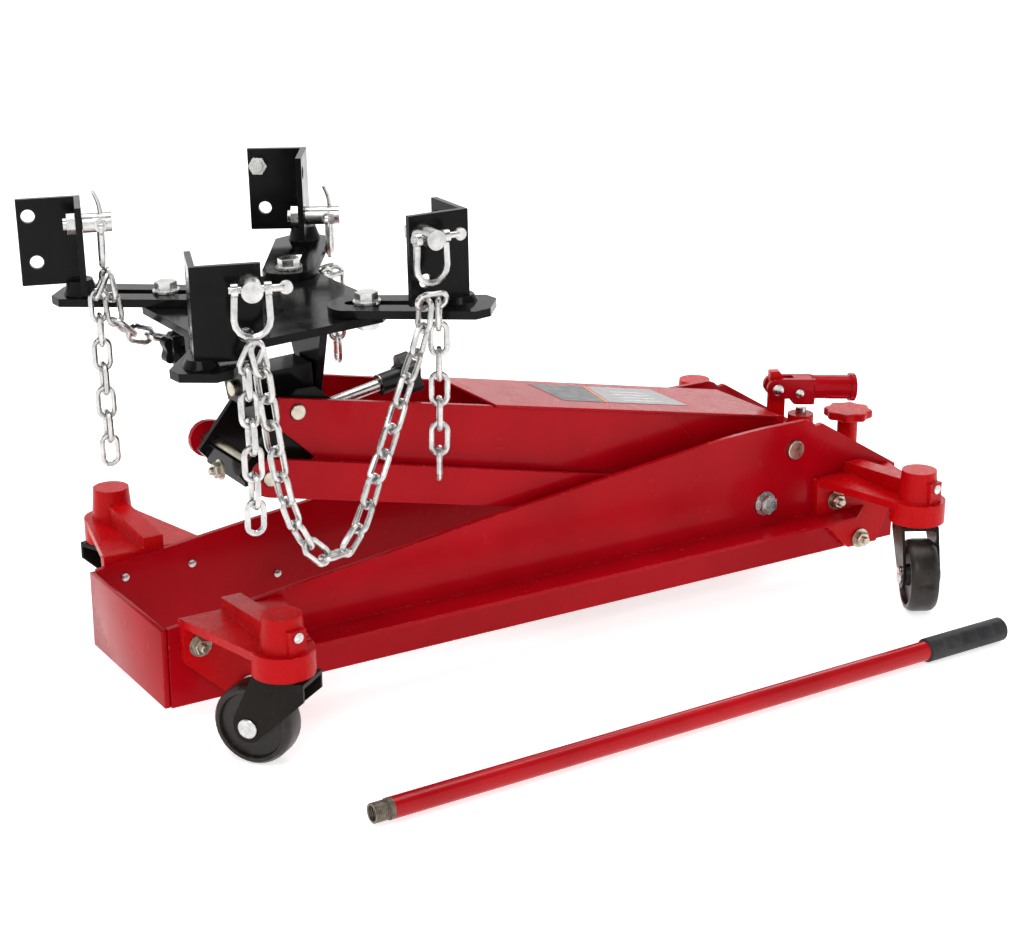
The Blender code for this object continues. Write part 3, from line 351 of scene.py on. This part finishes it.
by_node = {
    "handle_tube": handle_paint(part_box("handle_tube")[0].x, 0.0195),
    "tilt_screw": screw_and_knob(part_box("tilt_screw")[0].x, 0.0780, (0.006, 0.006, 0.006)),
    "pump_body": cast_red,
    "release_knob": cast_red,
}
by_start = {"caster_bracket": cast_red, "caster_fork": fork_black}


def smoothing():
    """Geometry nodes that weld a piece's facets and keep only its real corners sharp."""
    group = bpy.data.node_groups.new("weld_and_smooth", "GeometryNodeTree")
    group.interface.new_socket("Geometry", in_out="INPUT", socket_type="NodeSocketGeometry")
    group.interface.new_socket("Geometry", in_out="OUTPUT", socket_type="NodeSocketGeometry")
    nodes, link = group.nodes, group.links.new
    merge = nodes.new("GeometryNodeMergeByDistance")
    merge.inputs["Distance"].default_value = 0.00001
    drop = nodes.new("GeometryNodeRemoveAttribute")
    drop.inputs["Name"].default_value = "custom_normal"
    angle = nodes.new("GeometryNodeInputMeshEdgeAngle")
    corner = nodes.new("FunctionNodeCompare")
    corner.operation = "GREATER_THAN"
    corner.inputs[1].default_value = CAD_SHARP_ANGLE
    link(angle.outputs["Unsigned Angle"], corner.inputs[0])
    soft = nodes.new("GeometryNodeSetShadeSmooth")
    soft.domain = "FACE"
    hard = nodes.new("GeometryNodeSetShadeSmooth")
    hard.domain = "EDGE"
    hard.inputs["Shade Smooth"].default_value = False
    link(corner.outputs["Result"], hard.inputs["Selection"])
    last = nodes.new("NodeGroupInput").outputs[0]
    for step in (merge, drop, soft, hard):
        link(last, step.inputs["Geometry"])
        last = step.outputs["Geometry"]
    link(last, nodes.new("NodeGroupOutput").inputs[0])
    return group


def dress_cad():
    """Gives each CAD node its material and its smoothing."""
    smooth = smoothing()
    slots = {entry["node"]: entry["material_slot"] for entry in frame["record"]["subparts"]}
    for name, node in frame["nodes"].items():
        finish = by_node.get(name, by_slot[slots[name]])
        for start, other in by_start.items():
            if name.startswith(start):
                finish = other
        node.data.materials.clear()
        node.data.materials.append(finish)
        node.modifiers.new("smooth", "NODES").node_group = smooth


dress_cad()


# ---- mesh helpers -----------------------------------------------------------------------------
def piece(name, bm, finish, body, matrix=None):
    """Turns the bmesh into a named object that rides on the body, or on none if no body is given."""
    bmesh.ops.recalc_face_normals(bm, faces=bm.faces)
    mesh = bpy.data.meshes.new(name)
    bm.to_mesh(mesh)
    bm.free()
    if matrix is not None:
        mesh.transform(matrix)
    mesh.shade_smooth()
    mesh.set_sharp_from_angle(angle=SHARP_ANGLE)
    made = bpy.data.objects.new(name, mesh)
    scene.collection.objects.link(made)
    mesh.materials.append(finish)
    if body:
        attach(made, body)
    return made


def facing(at, out):
    """Matrix that takes local +Z to out and stands at the point."""
    return Matrix.Translation(at) @ Vector(out).to_track_quat("Z", "Y").to_matrix().to_4x4()


def drum(bm, radius, low, high, sides, top_radius=None, turn=0.0):
    """Adds an upright prism from low to high, tapered if it has a top radius."""
    made = bmesh.ops.create_cone(
        bm, cap_ends=True, segments=sides, radius1=radius,
        radius2=radius if top_radius is None else top_radius, depth=high - low,
    )
    place = Matrix.Translation((0, 0, (low + high) / 2)) @ Matrix.Rotation(turn, 4, "Z")
    bmesh.ops.transform(bm, matrix=place, verts=made["verts"])


def hex_nut(name, at, out, size, body):
    """Hex nut on a washer, with the bolt's end standing out of it. The size is the nut's radius."""
    bm = bmesh.new()
    drum(bm, size * 1.28, 0.0, size * 0.22, 28)
    drum(bm, size, size * 0.20, size * 0.86, 6, turn=0.3)
    drum(bm, size, size * 0.86, size * 1.02, 6, size * 0.86, turn=0.3)
    drum(bm, size * 0.50, size * 0.9, size * 1.45, 18)
    drum(bm, size * 0.50, size * 1.45, size * 1.58, 18, size * 0.40)
    piece(name, bm, steel, body, facing(at, out))


def dome(name, at, out, radius, body):
    """Domed rivet or screw head with a raised boss in its middle."""
    bm = bmesh.new()
    drum(bm, radius, 0.0, radius * 0.35, 20)
    drum(bm, radius, radius * 0.35, radius * 0.60, 20, radius * 0.55)
    drum(bm, radius * 0.30, radius * 0.50, radius * 0.66, 6, radius * 0.22)
    piece(name, bm, zinc, body, facing(at, out))


def axle_end(name, at, out, body):
    """Low, slightly crowned head of a peened axle."""
    bm = bmesh.new()
    drum(bm, 0.0096, 0.0, 0.0014, 26)
    drum(bm, 0.0096, 0.0014, 0.0024, 26, 0.0084)
    drum(bm, 0.0030, 0.0020, 0.0028, 16, 0.0022)
    piece(name, bm, zinc, body, facing(at, out))


def bent_wire(name, points, radius, taper, body):
    """Bent wire through the points. Its radius falls to taper times the first at its end."""
    curve = bpy.data.curves.new(name, "CURVE")
    curve.dimensions = "3D"
    curve.bevel_depth = radius
    curve.bevel_resolution = 3
    curve.use_fill_caps = True
    line = curve.splines.new("BEZIER")
    line.bezier_points.add(len(points) - 1)
    for i, (knot, at) in enumerate(zip(line.bezier_points, points)):
        knot.co = at
        knot.handle_left_type = knot.handle_right_type = "AUTO"
        knot.radius = 1.0 + (taper - 1.0) * i / (len(points) - 1)
    made = bpy.data.objects.new(name, curve)
    scene.collection.objects.link(made)
    curve.materials.append(zinc)
    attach(made, body)


# ---- chains -----------------------------------------------------------------------------------
BEND_SHAPE = (                                # across in half widths, and drop from the bend's top
    (-1.0, 0.0220), (-0.97, 0.0080), (-0.62, 0.0018), (0.0, 0.0),
    (0.62, 0.0018), (0.97, 0.0080), (1.0, 0.0220),
)


def bend(name, heading):
    """Where a chain passes over a shackle's bow, from one side to the other."""
    pin = Vector(joints["shackle_swing_" + name]["pos_m"])
    across = Vector((cos(heading), sin(heading), 0)) * BEND_HALF
    return [pin + across * k - Vector((0, 0, BOW_DROP + drop)) for k, drop in BEND_SHAPE]


def shifted(*points):
    """Points counted from the jack's own zero, in the frame's axes."""
    return [Vector(p) + SHIFT for p in points]


front_route = [
    *shifted((-0.4060, -0.2100, 0.2420), (-0.4055, -0.2095, 0.2900), (-0.4055, -0.2070, 0.3400)),
    *bend("front", radians(-20.0)),
    *shifted(
        (-0.3875, -0.2085, 0.3450), (-0.3820, -0.2095, 0.3050), (-0.3740, -0.2100, 0.2650),
        (-0.3600, -0.2110, 0.2300), (-0.3400, -0.2100, 0.2090), (-0.3180, -0.2060, 0.2080),
        (-0.2960, -0.1980, 0.2270), (-0.2760, -0.1880, 0.2620), (-0.2540, -0.1790, 0.3000),
        (-0.2330, -0.1700, 0.3400), (-0.2140, -0.1650, 0.3780),
    ),
    *bend("left", radians(-2.0)),
    *shifted((-0.1900, -0.1612, 0.3600), (-0.1900, -0.1605, 0.3100), (-0.1905, -0.1600, 0.2400)),
]
rear_route = [
    *shifted((-0.4225, 0.0880, 0.2180), (-0.4240, 0.0880, 0.2700), (-0.4250, 0.0880, 0.3200)),
    *bend("right", radians(0.0)),
    *shifted(
        (-0.4125, 0.0865, 0.3870), (-0.4110, 0.0850, 0.3740), (-0.4020, 0.0880, 0.3620),
        (-0.3800, 0.0955, 0.3530), (-0.3500, 0.1020, 0.3430), (-0.3150, 0.1085, 0.3350),
        (-0.2800, 0.1145, 0.3305), (-0.2450, 0.1200, 0.3290), (-0.2120, 0.1255, 0.3330),
        (-0.1850, 0.1295, 0.3420), (-0.1650, 0.1310, 0.3550),
    ),
    *bend("rear", radians(20.0)),
    *shifted((-0.1441, 0.1362, 0.3400), (-0.1440, 0.1362, 0.3050), (-0.1440, 0.1362, 0.2700)),
]


def fine_route(knots):
    """Dense points along a Catmull-Rom curve through the knots."""
    knots = [2 * knots[0] - knots[1], *knots, 2 * knots[-1] - knots[-2]]
    fine = []
    for a, b, c, d in zip(knots, knots[1:], knots[2:], knots[3:]):
        for i in range(KNOT_STEPS):
            t = i / KNOT_STEPS
            slope, bow, twist = c - a, 2 * a - 5 * b + 4 * c - d, 3 * b - a - 3 * c + d
            fine.append(0.5 * (2 * b + slope * t + bow * t * t + twist * t ** 3))
    fine.append(knots[-2])
    return fine


def link_into(bm, matrix):
    """One welded oval link, long way along local X and flat in local XY."""
    half, bow = (LINK_LONG - LINK_WIDE) / 2, (LINK_WIDE - LINK_WIRE) / 2
    centres = []
    for end in (1, -1):
        for i in range(LINK_TURN_STEPS + 1):
            t = -pi / 2 + pi * i / LINK_TURN_STEPS
            out = Vector((cos(t) * end, sin(t) * end, 0))
            centres.append((Vector((half * end, 0, 0)) + out * bow, out))
    rows = []
    for i, (at, out) in enumerate(centres):
        swell = WELD_SWELL if i in (0, len(centres) - 1) else 1.0
        row = []
        for k in range(LINK_RING):
            t = 2 * pi * k / LINK_RING
            offset = (out * cos(t) + Vector((0, 0, 1)) * sin(t)) * (LINK_WIRE / 2 * swell)
            row.append(bm.verts.new(matrix @ (at + offset)))
        rows.append(row)
    for row, after in zip(rows, rows[1:] + rows[:1]):
        for k in range(LINK_RING):
            step = (k + 1) % LINK_RING
            bm.faces.new((row[k], row[step], after[step], after[k]))


class Route:
    """A chain's way as dense points, and how far along it each of them is."""

    def __init__(self, knots):
        self.points = fine_route(knots)
        self.walked = [0.0]
        for before, after in zip(self.points, self.points[1:]):
            self.walked.append(self.walked[-1] + (after - before).length)

    def at(self, distance):
        i = max((k for k, w in enumerate(self.walked) if w <= distance), default=0)
        i = min(i, len(self.points) - 2)
        t = (distance - self.walked[i]) / max(self.walked[i + 1] - self.walked[i], 1e-9)
        return self.points[i].lerp(self.points[i + 1], t)

    def links(self):
        """How far along each link is and its matrix, each a quarter turn from the last."""
        count = int((self.walked[-1] - LINK_LONG) / LINK_PITCH) + 1
        spare = (self.walked[-1] - (count - 1) * LINK_PITCH) / 2
        side = Vector((0.82, -0.57, 0.0))
        for i in range(count):
            middle = spare + i * LINK_PITCH
            first, second = self.at(middle - LINK_PITCH / 2), self.at(middle + LINK_PITCH / 2)
            way = (second - first).normalized()
            side = (side - way * side.dot(way)).normalized()
            turn = radians(28 + 90 * (i % 2) + 7 * sin(i * 2.3))
            across = side * cos(turn) + way.cross(side) * sin(turn)
            matrix = Matrix((way, across, way.cross(across))).transposed().to_4x4()
            matrix.translation = (first + second) / 2
            yield middle, matrix


def chain(name, knots, node, ends):
    """A chain between two arms. Its tails over the shackles ride on the arms; the necks below them and the runs
    from there to the middle ride on no body."""
    route = Route(knots)
    walked = route.walked
    tail = (TAIL_KNOTS + BEND_KNOTS - 1) * KNOT_STEPS
    middle = walked[len(walked) // 2]
    for end, free, held in ((ends[0], 0.0, walked[tail]), (ends[1], walked[-1], walked[-1 - tail])):
        loose = held + NECK if held < middle else held - NECK
        arm, bolt = "arm_" + end, "bolt_" + end
        for label, near, far, outer, inner in (
            ("tail", free, held, arm, None),
            ("neck", held, loose, arm, bolt),
            ("run", loose, middle, bolt, "saddle"),
        ):
            bm = bmesh.new()
            for distance, matrix in route.links():
                if min(near, far) <= distance < max(near, far):
                    link_into(bm, matrix)
            made = piece(f"{name}_{label}_{end}", bm, zinc, None if inner else outer)
            if inner:
                route.at(far)
                route.at(near)
                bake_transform(made)
            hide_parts(node)


chain("front_chain", front_route, "chain_front", ("front", "left"))
chain("rear_chain", rear_route, "chain_rear", ("right", "rear"))


# ---- fasteners --------------------------------------------------------------------------------
def bracket_fasteners():
    """Two nuts on each caster bracket's plate and a screw on the pad of its swivel collar."""
    for end in ("front", "rear"):
        mid = sum(corner.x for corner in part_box(f"caster_bracket_{end}_left")) / 2
        for side, sign in (("left", -1), ("right", 1)):
            for label, (dx, z) in BRACKET_NUTS[end].items():
                at = (mid + dx, MIDDLE_Y + sign * BRACKET_FACE, z)
                hex_nut(f"bracket_nut_{end}_{side}_{label}", at, (0, sign, 0), BRACKET_NUT_SIZE, "frame")
            centre = Vector((mid, MIDDLE_Y + sign * COLLAR_OUT, COLLAR_HIGH))
            out = Vector((cos(COLLAR_HEADING), sign * sin(COLLAR_HEADING), 0))
            dome(f"collar_screw_{end}_{side}", centre + out * COLLAR_REACH, out, 0.0052, "frame")


def wall_rivets():
    """Rivets on the inner faces of the side plates."""
    for side, sign in (("left", -1), ("right", 1)):
        for i, (x, z) in enumerate(WALL_RIVETS):
            at = (x, MIDDLE_Y + sign * WALL_INNER, z)
            dome(f"wall_rivet_{side}_{i + 1}", at, (0, -sign, 0), 0.0042, "frame")


def axle_ends():
    """A peened head on each cheek of each caster fork."""
    for name in ("front_left", "front_right", "rear_left", "rear_right"):
        spin = joints["spin_" + name]
        way = Vector(spin["axis"]).normalized()
        for label, sign in (("in", -1), ("out", 1)):
            at = Vector(spin["pos_m"]) + way * sign * CHEEK_OUT
            axle_end(f"axle_{label}_{name}", at, way * sign, "fork_" + name)


def socket_heads():
    """Heads of the handle socket's pin and of its clamping screw, on both cheeks."""
    socket = Matrix.Translation(joints["pump_stroke"]["pos_m"])
    socket @= Matrix.Rotation(SOCKET_YAW, 4, "Z") @ Matrix.Rotation(SOCKET_FALL, 4, "Y")
    for label, (place, radius) in SOCKET_HEADS.items():
        for side, sign in (("near", -1), ("far", 1)):
            at = socket @ Vector((place.x, sign * place.y, place.z))
            out = socket.to_3x3() @ Vector((0, sign, 0))
            dome(f"socket_{label}_{side}", at, out, radius, "handle_socket")


def head_stop_screw():
    """The stop screw and its nut, on the head's front face."""
    at = Vector((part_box("head_bracket")[0].x - 0.0002, MIDDLE_Y - 0.0080, STOP_SCREW_HIGH))
    hex_nut("head_stop_screw", at, (-1, 0, 0), 0.0080, "head")


def retaining_wires():
    """Bent wire ends that stand up over the pins of the two far shackles."""
    for name in ("rear", "right"):
        base = Vector(joints["shackle_swing_" + name]["pos_m"]) + Vector((0.001, 0, 0.0085))
        points = [base, base + Vector((-0.0020, 0.0, 0.0110)), base + Vector((-0.0065, 0.0010, 0.0225))]
        bent_wire(f"retaining_wire_{name}", points, 0.0023, 0.8, "shackle_" + name)


bracket_fasteners()
wall_rivets()
axle_ends()
socket_heads()
head_stop_screw()
retaining_wires()


# ---- cover film -------------------------------------------------------------------------------
def film_place():
    """Matrix of the film's own axes: along the cover's slope, across it, and out of it."""
    along = Vector((cos(FILM_SLOPE), 0, sin(FILM_SLOPE)))
    up = Vector((-sin(FILM_SLOPE), 0, cos(FILM_SLOPE)))
    place = Matrix((along, Vector((0, 1, 0)), up)).transposed().to_4x4()
    start = (FILM_START_X - FILM_FRONT.x) / cos(FILM_SLOPE)
    place.translation = Vector((FILM_FRONT.x, FILM_MIDDLE_Y, FILM_FRONT.z)) + along * start
    return place


def film_patch(name, ends, leans, dark, light):
    """One coloured patch of the film. Each end leans over by its own length, which may be none."""
    first, last = ends
    lean_first, lean_last = leans[0] / 2, leans[1] / 2
    outline = (
        (first - lean_first, -FILM_HALF_WIDTH), (last - lean_last, -FILM_HALF_WIDTH),
        (last + lean_last, FILM_HALF_WIDTH), (first + lean_first, FILM_HALF_WIDTH),
    )
    bm = bmesh.new()
    under = [bm.verts.new((x, y, FILM_GAP)) for x, y in outline]
    over = [bm.verts.new((x, y, FILM_GAP + FILM_THICK)) for x, y in outline]
    bm.faces.new(under)
    bm.faces.new(over)
    for i in range(len(outline)):
        bm.faces.new((under[i - 1], under[i], over[i], over[i - 1]))
    finish = printed("film_" + name, dark, light)
    piece("cover_film_" + name, bm, finish, "lift_arm", film_place())


def film_bars():
    """Four pale bars on the film, in place of writing."""
    bm = bmesh.new()
    for i in range(4):
        bar = bmesh.ops.create_cube(bm, size=1.0)["verts"]
        bmesh.ops.scale(bm, vec=(0.052 - 0.006 * (i % 2), 0.0036, 0.00012), verts=bar)
        bmesh.ops.translate(bm, vec=(0.112 + 0.0014 * i, -0.0235 + 0.0125 * i, 0.00038), verts=bar)
    finish = printed("film_bars", (0.42, 0.40, 0.40), (0.58, 0.56, 0.55))
    piece("cover_film_bars", bm, finish, "lift_arm", film_place())


film_patch("dark_end", (0.0, 0.0620), (0.0, 0.018), (0.016, 0.015, 0.018), (0.040, 0.036, 0.040))
film_patch("stripe", (0.0630, 0.0660), (0.018, 0.018), (0.62, 0.15, 0.02), (0.80, 0.24, 0.05))
film_patch("pale_block", (0.0672, 0.1640), (0.018, 0.0), (0.17, 0.16, 0.17), (0.30, 0.28, 0.29))
film_bars()


# ---- floor, light and camera ------------------------------------------------------------------
def pale(name, glow):
    """Matt white that glows by itself, as a lit studio wall does."""
    s = Surface(name)
    tone = s.ramp(s.noise(3.0, 3.0), ((0.3, (0.86, 0.86, 0.86)), (0.7, (0.90, 0.90, 0.90))))
    finish = s.finish(tone, 0.62, s.bump(s.noise(120.0, 3.0), 0.00005), level=0.1)
    s.shader.inputs["Emission Color"].default_value = (1.0, 1.0, 1.0, 1.0)
    s.shader.inputs["Emission Strength"].default_value = glow
    return finish


def staged(name, profile, finish):
    """Turned surface of the studio, from a profile of radius and height."""
    bm = bmesh.new()
    verts = [bm.verts.new((radius, 0.0, height)) for radius, height in profile]
    line = [bm.edges.new(pair) for pair in zip(verts, verts[1:])]
    bmesh.ops.spin(bm, geom=verts + line, axis=(0, 0, 1), cent=(0, 0, 0), angle=2 * pi, steps=72)
    bmesh.ops.remove_doubles(bm, verts=bm.verts, dist=0.0001)
    mesh = bpy.data.meshes.new(name)
    bm.to_mesh(mesh)
    bm.free()
    mesh.shade_smooth()
    mesh.materials.append(finish)
    made = bpy.data.objects.new(name, mesh)
    made.location.z = FLOOR_DROP
    scene.collection.objects.link(made)


def lamp(name, at, size, power):
    """Softbox that faces the jack's middle."""
    light = bpy.data.lights.new(name, "AREA")
    light.shape = "RECTANGLE"
    light.size, light.size_y = size
    light.energy = power
    made = bpy.data.objects.new(name, light)
    made.location = at
    made.rotation_euler = (LAMPS_AIM - Vector(at)).to_track_quat("-Z", "Y").to_euler()
    scene.collection.objects.link(made)


def studio():
    """Flat floor that curves up into a wall far off, all round, under a plain sky."""
    turns = [radians(9 * i) for i in range(11)]
    curve = [(FLOOR_REACH + WALL_BEND * sin(t), WALL_BEND * (1 - cos(t))) for t in turns]
    staged("floor", [(0.0, 0.0), (FLOOR_REACH, 0.0)], pale("pale_floor", 0.62))
    staged("backdrop", [*curve, (FLOOR_REACH + WALL_BEND, WALL_TOP)], pale("pale_wall", 0.50))
    scene.world = bpy.data.worlds.new("studio")
    scene.world.use_nodes = True
    sky = scene.world.node_tree.nodes["Background"].inputs
    sky["Color"].default_value = (1.0, 1.0, 1.0, 1.0)
    sky["Strength"].default_value = 0.24


def point_camera():
    camera = bpy.data.cameras.new("camera")
    camera.sensor_fit = "HORIZONTAL"
    camera.sensor_width = CAMERA_SENSOR
    camera.lens = CAMERA_LENS
    camera.clip_start = 0.01
    eye = bpy.data.objects.new("camera", camera)
    eye.location = CAMERA_AT
    eye.rotation_euler = (pi / 2 - CAMERA_FALL, 0.0, CAMERA_AZIMUTH)
    scene.collection.objects.link(eye)
    scene.camera = eye


studio()
lamp("key_softbox", (-1.6, -1.5, 2.4), (1.5, 1.2), 29.0)
lamp("top_softbox", (0.3, 0.5, 2.6), (2.4, 1.5), 47.0)
lamp("rear_softbox", (2.0, 1.6, 1.7), (1.4, 1.1), 17.0)
point_camera()
scene.view_settings.view_transform = "Standard"
